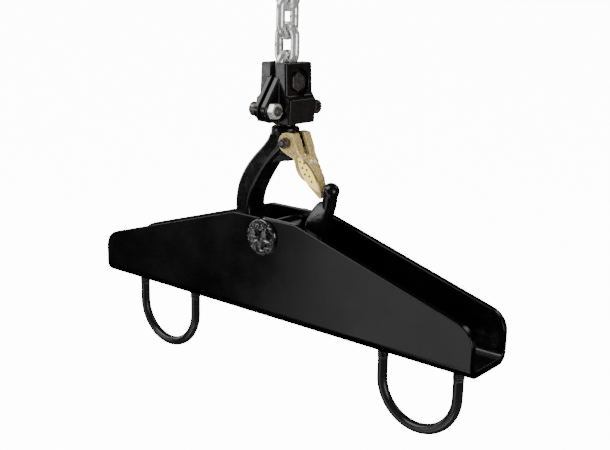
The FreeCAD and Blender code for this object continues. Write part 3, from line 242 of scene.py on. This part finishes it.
def dark_steel(name, colour, roughness):
    """Black oxide: dark metal, oily and a little brown where it has rubbed."""
    material, tree, shader = new_material(name, colour, roughness[0], metallic=0.85)
    rub = spread(tree, noise_value(tree, 480, detail=6, rough=0.7), 0.45, 0.72, 0.0, 1.0)
    link(tree, blend_colour(tree, rub, colour, tuple(3.0 * c for c in colour)),
         shader.inputs["Base Color"])
    link(tree, spread(tree, noise_value(tree, 300, detail=4), 0.3, 0.7, *roughness),
         shader.inputs["Roughness"])
    bumps(tree, shader, [(noise_value(tree, 1500, detail=3), 0.2, 0.05)])
    return material


finishes = {
    "bracket_black": powder_coat(),
    "weld_black": weld_paint(),
    "rod_black": rod_paint(),
    "hook_black": forged_paint("hook_forged_paint", (0.0012, 0.0011, 0.0010), (0.04, 0.036, 0.034),
                               (0.12, 0.26), 420, 0.12, (0.53, 0.60)),
    "block_black": forged_paint("block_forged_paint", (0.0014, 0.0012, 0.0011), (0.04, 0.035, 0.032),
                                (0.13, 0.28), 520, 0.08, (0.54, 0.62)),
    "pin_black": dark_steel("pin_black_oxide", (0.060, 0.054, 0.048), (0.26, 0.40)),
    "dark_steel": dark_steel("bolt_black_oxide", (0.075, 0.068, 0.060), (0.20, 0.34)),
    "zinc_plate": bright_zinc("nut_zinc_plate", (0.82, 0.81, 0.78), (0.20, 0.34), 320, 0.85),
    "chain_zinc": bright_zinc("chain_galvanised", (0.86, 0.87, 0.85), (0.14, 0.28), 190, 0.85),
    "bearing_steel": bright_zinc("bearing_ground_steel", (0.58, 0.58, 0.58), (0.10, 0.18), 260),
    "spring_steel": bright_zinc("spring_wire", (0.45, 0.45, 0.44), (0.20, 0.30), 400),
    "latch_gold": cast_gold(),
}


# ---------------------------------------------------------------- meshes

def finish_piece(obj, node, smooth_angle=None):
    """Give a built mesh its material and its body, and hide the CAD node it stands for."""
    slot = slot_of[node]
    obj.data.materials.clear()
    obj.data.materials.append(finishes[slot])
    for face in obj.data.polygons:
        face.use_smooth = True
    if smooth_angle is not None:
        obj.data.set_sharp_from_angle(angle=math.radians(smooth_angle))
    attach(obj, body_of[node])
    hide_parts(node)
    return obj


def object_from(bm, name):
    mesh = bpy.data.meshes.new(name)
    bmesh.ops.recalc_face_normals(bm, faces=bm.faces)
    bm.to_mesh(mesh)
    bm.free()
    obj = bpy.data.objects.new(name, mesh)
    bpy.context.scene.collection.objects.link(obj)
    return obj


def cad_copy(node, name):
    """The CAD node's surface as a joined mesh with its flat faces whole again."""
    bm = bmesh.new()
    bm.from_mesh(nodes[node].data)
    bmesh.ops.remove_doubles(bm, verts=bm.verts, dist=0.002 * MM)
    bmesh.ops.dissolve_limit(bm, angle_limit=math.radians(0.4), verts=bm.verts, edges=bm.edges)
    return object_from(bm, name)


def settle(obj):
    """Swap an object's mesh for the one its modifiers make."""
    graph = bpy.context.evaluated_depsgraph_get()
    mesh = bpy.data.meshes.new_from_object(obj.evaluated_get(graph))
    obj.modifiers.clear()
    obj.data = mesh
    return obj


def softened(node, width, angle=32, segments=2):
    """A copy of a CAD node with every edge broken by a small round, its flat faces shaded flat."""
    obj = cad_copy(node, f"{node}_look")
    bevel = obj.modifiers.new("edges", "BEVEL")
    bevel.width = width * MM
    bevel.segments = segments
    bevel.limit_method = "ANGLE"
    bevel.angle_limit = math.radians(angle)
    bevel.use_clamp_overlap = False
    bevel.miter_outer = "MITER_ARC"
    settle(obj)
    for face in obj.data.polygons:
        face.use_smooth = True
    obj.data.set_sharp_from_angle(angle=math.radians(28))
    level = obj.modifiers.new("level", "WEIGHTED_NORMAL")
    level.weight = 100
    level.keep_sharp = True
    settle(obj)
    return finish_piece(obj, node)


def skinned(node, voxel, passes, move=None):
    """A copy of a CAD node with an even cast or forged skin; move shifts each point along its normal."""
    obj = cad_copy(node, f"{node}_look")
    remesh = obj.modifiers.new("skin", "REMESH")
    remesh.mode = "VOXEL"
    remesh.voxel_size = voxel * MM
    smooth = obj.modifiers.new("smooth", "SMOOTH")
    smooth.factor = 0.5
    smooth.iterations = passes
    settle(obj)
    if move:
        moved = [vertex.co + vertex.normal * move(vertex.co / MM) * MM for vertex in obj.data.vertices]
        obj.data.vertices.foreach_set("co", [number for point in moved for number in point])
        obj.data.update()
    return finish_piece(obj, node)


def tube(bm, path, radius_at, around=24, closed=False):
    """Sweep a ring along a flat path. path holds (point, tangent, distance along); radius_at(distance,
    angle) is in mm, as are the points. The path's plane is given by its side vector."""
    points, side = path
    rings = []
    for point, tangent, distance in points:
        across = side.cross(tangent).normalized()
        ring = []
        for k in range(around):
            angle = 2 * math.pi * k / around
            offset = across * math.cos(angle) + side * math.sin(angle)
            ring.append(bm.verts.new((point + offset * radius_at(distance, angle)) * MM))
        rings.append(ring)
    pairs = list(zip(rings, rings[1:] + rings[:1])) if closed else list(zip(rings, rings[1:]))
    for first, second in pairs:
        for k in range(around):
            bm.faces.new((first[k], first[(k + 1) % around], second[(k + 1) % around], second[k]))
    if not closed:
        bm.faces.new(rings[0])
        bm.faces.new(rings[-1])


def walk(pieces, side, fine, coarse):
    """Points along straights and arcs. A straight is ("line", start, end, is_fine); an arc is
    ("arc", centre, first spoke, degrees) and turns about the side vector."""
    points, gone = [], 0.0
    for piece in pieces:
        if piece[0] == "line":
            _, start, end, is_fine = piece
            length = (end - start).length
            count = max(1, round(length / (fine if is_fine else coarse)))
            tangent = (end - start).normalized()
            points += [(start.lerp(end, k / count), tangent, gone + length * k / count)
                       for k in range(count)]
            last = (end, tangent, gone + length)
        else:
            _, centre, spoke, degrees = piece
            length = spoke.length * math.radians(abs(degrees))
            count = max(6, round(length / coarse))
            sign = 1 if degrees > 0 else -1
            for k in range(count + 1):
                turned = Matrix.Rotation(math.radians(degrees) * k / count, 3, side) @ spoke
                last = (centre + turned, side.cross(turned).normalized() * sign, gone + length * k / count)
                if k < count:
                    points.append(last)
        gone += length
    return points, last, gone


def thread_wave(distance, angle, pitch, crest, depth):
    """The radius of a rolled thread at a distance and an angle round the rod."""
    phase = (distance / pitch + angle / (2 * math.pi)) % 1.0
    return crest - depth * min(1.0, max(0.0, abs(2 * phase - 1) * 1.5 - 0.25))


def u_bolt(node, centre):
    """A bent rod: rolled threads on both legs, plain rod round the chord."""
    low, high = (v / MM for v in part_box(node))
    crest, rod, pitch, depth, chamfer = 4.0, 3.6, 1.25, 0.62, 0.7
    thread_length, step = 36.0, pitch / 6
    half = (high.x - low.x) / 2 - crest
    bend = low.z + half + rod
    side = Vector((0, 1, 0))
    left, right = centre - half, centre + half
    thread_end = high.z - thread_length
    pieces = [("line", Vector((left, 0, high.z)), Vector((left, 0, thread_end)), True),
              ("line", Vector((left, 0, thread_end)), Vector((left, 0, bend)), False),
              ("arc", Vector((centre, 0, bend)), Vector((-half, 0, 0)), -180),
              ("line", Vector((right, 0, bend)), Vector((right, 0, thread_end)), False),
              ("line", Vector((right, 0, thread_end)), Vector((right, 0, high.z)), True)]
    points, last, total = walk(pieces, side, step, 2.0)
    points.append(last)

    def radius_at(distance, angle):
        from_end = min(distance, total - distance)
        if from_end > thread_length:
            return rod
        runout = min(1.0, (thread_length - from_end) / 2.0)
        bevel = max(0.0, chamfer - from_end)
        plain = rod + (crest - rod) * runout
        cut = thread_wave(distance, angle, pitch, 0.0, depth) * runout
        return plain + min(cut, -bevel) if bevel else plain + cut

    bm = bmesh.new()
    tube(bm, (points, side), radius_at, around=28)
    return finish_piece(object_from(bm, f"{node}_look"), node, smooth_angle=50)


def chain_link(node, seed):
    """A bent and butt-welded link: a ring of weld upset on one leg and a slightly uneven wire."""
    low, high = (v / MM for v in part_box(node))
    wire = CHAIN_WIRE_RADIUS
    flat_in_xz = (high.x - low.x) > (high.y - low.y)
    side = Vector((0, 1, 0)) if flat_in_xz else Vector((-1, 0, 0))
    run = Vector((1, 0, 0)) if flat_in_xz else Vector((0, 1, 0))
    bow = ((high - low).dot(run)) / 2 - wire
    bottom, top = low.z + wire + bow, high.z - wire - bow
    pieces = [("line", run * -bow + Vector((0, 0, top)), run * -bow + Vector((0, 0, bottom)), True),
              ("arc", Vector((0, 0, bottom)), run * -bow, -180),
              ("line", run * bow + Vector((0, 0, bottom)), run * bow + Vector((0, 0, top)), True),
              ("arc", Vector((0, 0, top)), run * bow, -180)]
    points, _, total = walk(pieces, side, 0.2, 0.5)
    leg = top - bottom
    weld_place = leg / 2 if seed % 2 else leg + math.pi * bow + leg / 2
    weld_rise, weld_width, unevenness = 0.26, 0.55, 0.05

    def radius_at(distance, angle):
        gap = (distance - weld_place) / weld_width
        ridge = weld_rise * math.exp(-gap * gap) * (0.75 + 0.25 * math.sin(3 * angle + seed))
        spot = Vector((math.cos(angle), math.sin(angle), distance / 5.0 + 7.0 * seed))
        return wire - unevenness * abs(noise.noise(spot)) + ridge

    bm = bmesh.new()
    tube(bm, (points, side), radius_at, around=32, closed=True)
    return finish_piece(object_from(bm, f"{node}_look"), node)


def weld_ring(node, out):
    """The lumpy bead over the bar's end: a capped disc with a rolled rim, its metal laid in patches."""
    low, high = (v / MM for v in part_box(node))
    level = (low.z + high.z) / 2
    outer, inner, sunk = (high.z - low.z) / 2, 0.6, 0.4
    face = high.y if out < 0 else low.y
    height = high.y - low.y
    ripples, around, across, rim_from = 19, 360, 56, 0.90
    craters = (((-4.4, 1.0, 0), 5.2), ((5.6, 1.4, 0), 5.0), ((0.4, -7.6, 0), 3.0))
    bm = bmesh.new()
    rings = []
    for k in range(around):
        angle = 2 * math.pi * k / around
        round_the_bar = Vector((math.cos(angle), math.sin(angle), 0))
        wander = noise.noise(round_the_bar * 1.4 + Vector((0, 0, 3.1 + out)))
        ripple = (1 - (k * ripples / around + 1.1 * wander) % 1.0) ** 1.5
        ring = []
        for j in range(across):
            share = j / (across - 1)
            radius = inner + (outer - inner) * share * (0.985 + 0.03 * wander * share)
            past_rim = max(0.0, (share - rim_from) / (1 - rim_from))
            shoulder = math.sqrt(max(0.0, 1 - past_rim**2))
            spot = round_the_bar * radius
            bowl = sum(max(0.0, 1 - ((spot - Vector(centre)).length / reach) ** 2)
                       for centre, reach in craters)
            lump = (noise.noise(spot / 2.6 + Vector((4.0, out, 1.7)))
                    + 0.5 * noise.noise(spot / 1.1 + Vector((1.0, 8.0, out))))
            ridge = 0.05 * math.exp(-((share - rim_from) / 0.04) ** 2)
            laid = 0.95 - 0.20 * bowl + 0.22 * lump * max(0.0, 1 - 2.5 * bowl) + ridge + 0.03 * ripple * share
            rise = height * shoulder * min(1.0, max(0.74, laid))
            place = Vector((radius * math.cos(angle), face + out * (rise - (sunk if share == 1 else 0)),
                            level + radius * math.sin(angle)))
            ring.append(bm.verts.new(place * MM))
        rings.append(ring)
    for first, second in zip(rings, rings[1:] + rings[:1]):
        for j in range(across - 1):
            bm.faces.new((first[j], first[j + 1], second[j + 1], second[j]))
    bm.faces.new([ring[-1] for ring in rings])
    bm.faces.new([ring[0] for ring in reversed(rings)])
    return finish_piece(object_from(bm, f"{node}_look"), node)


def forged_unevenness(point):
    """How far the forged skin stands off its ideal surface, in mm."""
    broad = noise.noise(point / 11.0) * 0.12
    fine = noise.noise(point / 2.6 + Vector((9, 4, 2))) * 0.045
    return broad + fine


def cast_unevenness(point):
    """How far the cast latch stands off its ideal surface, with teeth along its +Y front edge."""
    grain = noise.noise(point / 3.2) * 0.05 + noise.noise(point / 0.9) * 0.03
    teeth_low, teeth_high, teeth_pitch, teeth_depth, teeth_reach = 93.5, 113.5, 2.9, 0.5, 1.2
    if not teeth_low < point.z < teeth_high:
        return grain
    knee_x, knee_z = 30.3, 106.6
    top_x, top_z, slope_below = 23.4, 115.2, 5.0 / 12.0
    if point.z > knee_z:
        front = top_x + 6.9 * (top_z - point.z) / 8.6
    else:
        front = knee_x + slope_below * (knee_z - point.z)
    taper_slope, draft_slope = 0.14, 0.105
    flank = (LATCH_HALF_WIDTH - taper_slope * (LATCH_FLANK_LEVEL - point.z)
             - draft_slope * (point.x - LATCH_DRAFT_FROM))
    if point.x < front - teeth_reach or point.y < flank - teeth_reach:
        return grain
    return grain - teeth_depth * (0.5 - 0.5 * math.cos(2 * math.pi * (point.z - teeth_low) / teeth_pitch))


def mark_leaf(obj):
    """Paint the two leaf hollows and their pits into point attributes."""
    taper, draft = math.radians(8.0), math.radians(6.0)
    flank_height = LATCH_HALF_WIDTH + LATCH_DRAFT_FROM * math.tan(draft)
    arcs = (((18.2, -3.2), (28.6, -11.8), (34.5, -27.9)), ((34.5, -27.9), (21.0, -17.6), (18.2, -3.2)))
    pits = [(20.1 + 1.75 * k, -7.3 - 4.3 * k) for k in range(3)]
    pits += [(23.4 + 1.85 * k, -8.1 - 4.4 * k) for k in range(3)] + [(28.8, -20.6)]

    def circle_through(a, b, c):
        ax, ay, bx, by, cx, cy = *a, *b, *c
        d = 2 * (ax * (by - cy) + bx * (cy - ay) + cx * (ay - by))
        ux = ((ax**2 + ay**2) * (by - cy) + (bx**2 + by**2) * (cy - ay) + (cx**2 + cy**2) * (ay - by)) / d
        uy = ((ax**2 + ay**2) * (cx - bx) + (bx**2 + by**2) * (ax - cx) + (cx**2 + cy**2) * (bx - ax)) / d
        return Vector((ux, uy)), math.hypot(ax - ux, ay - uy)

    discs = [circle_through(*arc) for arc in arcs]
    count = len(obj.data.vertices)
    leaf, rim, pit = [0.0] * count, [0.0] * count, [0.0] * count
    for vertex in obj.data.vertices:
        x, y, z = vertex.co / MM
        down = (z - LATCH_FLANK_LEVEL) / math.cos(taper)
        across = (x - math.sin(taper) * math.sin(draft) * down) / math.cos(draft)
        surface = (flank_height - math.sin(draft) * across
                   + math.sin(taper) * math.cos(draft) * down)
        sunk = surface - abs(y)
        spot = Vector((across, down))
        inside = min(radius - (spot - centre).length for centre, radius in discs)
        if inside > -0.6 and 0.05 < sunk < 2.4:
            leaf[vertex.index] = min(1.0, max(0.0, (inside + 0.2) / 0.3))
            rim[vertex.index] = min(1.0, max(0.0, 1.3 - abs(inside) / 0.45))
            nearest = min((spot - Vector(place)).length for place in pits)
            pit[vertex.index] = min(1.0, max(0.0, (0.95 - nearest) / 0.25))
    for name, values in (("leaf", leaf), ("rim", rim), ("pit", pit)):
        obj.data.attributes.new(name, "FLOAT", "POINT").data.foreach_set("value", values)


for name, obj in nodes.items():
    obj.data.materials.clear()
    obj.data.materials.append(finishes[slot_of[name]])

softened("channel", 0.7, segments=3)
softened("lifting_bar", 0.3)
weld_ring("bar_weld_front", -1)
weld_ring("bar_weld_rear", 1)
for side_name, sign in (("left", -1), ("right", 1)):
    u_bolt(f"u_bolt_{side_name}", sign * CHORD_OFFSET)
for name in ("nut_left_outer", "nut_left_inner", "nut_right_inner", "nut_right_outer", "ear_nuts"):
    softened(name, 0.18)
softened("u_bolt_washers", 0.22)
skinned("hook_body", 0.4, 1, forged_unevenness)
mark_leaf(skinned("latch", 0.25, 2, cast_unevenness))
for name in ("block_front_half", "block_rear_half"):
    softened(name, 0.5, segments=3)
softened("chain_pin", 0.25)
softened("ear_bolts", 0.25)
softened("latch_bolt", 0.15)
softened("latch_nut", 0.15)
for number in range(1, 5):
    chain_link(f"chain_link_{number}", number)


# ---------------------------------------------------------------- studio

def studio_camera():
    """The photograph's viewpoint: azimuth and elevation about the bracket, a slight roll, a long lens."""
    azimuth, elevation, roll = (math.radians(angle) for angle in (39.13, 14.18, 1.34))
    place, sensor_mm, lens_mm = (0.4366, -0.5126, 0.2352), 36.0, 57.2
    back = Vector((math.sin(azimuth) * math.cos(elevation), -math.cos(azimuth) * math.cos(elevation),
                   math.sin(elevation)))
    right = Vector((math.cos(azimuth), math.sin(azimuth), 0))
    up = back.cross(right)
    across = right * math.cos(roll) + up * math.sin(roll)
    upward = up * math.cos(roll) - right * math.sin(roll)
    data = bpy.data.cameras.new("studio_camera")
    data.sensor_width = sensor_mm
    data.lens = lens_mm
    data.clip_start = 0.01
    data.clip_end = 100.0
    camera = bpy.data.objects.new("studio_camera", data)
    bpy.context.scene.collection.objects.link(camera)
    rotation = Matrix((across, upward, back)).transposed().to_4x4()
    camera.matrix_world = Matrix.Translation(place) @ rotation
    bpy.context.scene.camera = camera


def studio_floor():
    """A wide pale floor well below the hanging part, lit from within so that it stays even."""
    level, reach = -0.32, 30.0
    bm = bmesh.new()
    corners = [bm.verts.new((x * reach, y * reach, level)) for x, y in ((-1, -1), (1, -1), (1, 1), (-1, 1))]
    bm.faces.new(corners)
    floor = object_from(bm, "studio_floor")
    material, tree, shader = new_material("floor_paper", (0.9, 0.9, 0.9), 0.9)
    path = tree.nodes.new("ShaderNodeLightPath")
    shader.inputs["Emission Color"].default_value = (1, 1, 1, 1)
    link(tree, spread(tree, path.outputs["Is Camera Ray"], 0.0, 1.0, 0.8, 12.0),
         shader.inputs["Emission Strength"])
    floor.data.materials.append(material)
    floor.visible_glossy = False


def compass(azimuth, elevation):
    """The unit vector towards a compass direction about the part, in degrees from +X and from level."""
    az, el = math.radians(azimuth), math.radians(elevation)
    return Vector((math.cos(az) * math.cos(el), math.sin(az) * math.cos(el), math.sin(el)))


def studio_world():
    """A white room: bright to the camera and to matt surfaces, dim in mirror reflections, where the
    soft boxes do the work."""
    world = bpy.data.worlds.new("studio_world")
    bpy.context.scene.world = world
    world.use_nodes = True
    tree = world.node_tree
    background = tree.nodes["Background"]
    path = tree.nodes.new("ShaderNodeLightPath")
    dim_side, key_side = (0.7, 0.69, 0.68), (2.6, 2.6, 2.65)
    mirror, seen = (0.008, 0.008, 0.008), (12.5, 12.5, 12.5)
    toward_key = tree.nodes.new("ShaderNodeVectorMath")
    toward_key.operation = "DOT_PRODUCT"
    link(tree, tree.nodes.new("ShaderNodeTexCoord").outputs["Generated"], toward_key.inputs[0])
    toward_key.inputs[1].default_value = compass(232, 28)
    share = spread(tree, toward_key.outputs["Value"], -0.7, 0.95, 0.0, 1.0)
    room = blend_colour(tree, share, dim_side, key_side)
    colour = blend_colour(tree, path.outputs["Is Glossy Ray"], room, mirror)
    link(tree, blend_colour(tree, path.outputs["Is Camera Ray"], colour, seen), background.inputs["Color"])
    background.inputs["Strength"].default_value = 1.0


def soft_box(name, azimuth, elevation, distance, size, brightness, colour=(1, 1, 1)):
    """A soft box that faces the part from a compass direction about it. Brightness is its own radiance."""
    heading, aim = compass(azimuth, elevation), Vector((0, 0, 0.08))
    data = bpy.data.lights.new(name, "AREA")
    data.shape = "RECTANGLE"
    data.size, data.size_y = size
    data.energy = brightness * math.pi * size[0] * size[1]
    data.color = colour
    light = bpy.data.objects.new(name, data)
    bpy.context.scene.collection.objects.link(light)
    light.location = aim + heading * distance
    light.rotation_euler = heading.to_track_quat("Z", "Y").to_euler()
    light.visible_camera = False


studio_camera()
studio_floor()
studio_world()
soft_box("front_box", 230, 1, 1.6, (0.62, 0.28), 4.5)
soft_box("low_front_box", 249, -22, 1.6, (0.90, 0.74), 1.05, (1.0, 0.98, 1.0))
soft_box("upper_front_box", 226, 48, 1.6, (1.5, 1.1), 4.0)
soft_box("back_card", 62, 36, 1.8, (0.9, 0.6), 1.6, (1.0, 0.94, 0.86))
soft_box("side_card", 40, -8, 1.8, (0.8, 0.5), 0.25, (1.0, 0.88, 0.78))
soft_box("right_box", 348, 6, 1.6, (0.85, 0.9), 4.0)
soft_box("left_strip", 186, 12, 1.5, (0.30, 0.9), 5.0)
soft_box("rear_strip", 128, 0, 1.8, (0.3, 1.0), 0.8)
soft_box("under_strip", 270, -48, 1.6, (1.2, 0.30), 3.0)
